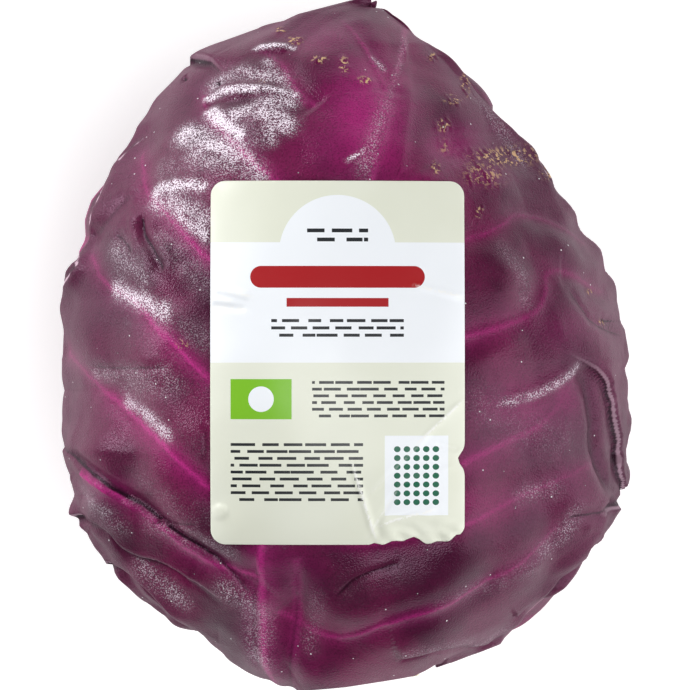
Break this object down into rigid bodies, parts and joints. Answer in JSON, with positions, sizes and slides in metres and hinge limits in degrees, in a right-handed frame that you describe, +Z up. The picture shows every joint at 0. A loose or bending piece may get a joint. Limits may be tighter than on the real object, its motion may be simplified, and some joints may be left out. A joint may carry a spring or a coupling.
{
  "type": "red pointed cabbage head",
  "caption": "Head of red pointed cabbage lying on its side: waved, ribbed wrapper leaves closed over a dense heart, a cut stem end, and a paper label on the front leaf.",
  "frame": {"origin": "on the surface that the head lies on, under the middle of its bounding box", "axes": "+Y along the head from the cut stem to the tip, +Z up through the label on the front leaf, +X to the right of the label seen from above with the tip away from the viewer"},
  "size_m": [0.1356, 0.163, 0.1261],
  "materials": {
    "heart_leaf": "satin",
    "front_leaf": "satin",
    "wrapper_leaf": "satin",
    "inner_leaf": "satin",
    "cut_stem": "matte",
    "label_paper": "satin"
  },
  "bodies": {
    "root": {"heart": "heart_leaf", "leaf_1": "front_leaf", "leaf_2": "wrapper_leaf", "leaf_3": "wrapper_leaf", "leaf_4": "inner_leaf", "leaf_5": "inner_leaf", "leaf_6": "inner_leaf", "stem": "cut_stem", "label": "label_paper"}
  },
  "joints": []
}
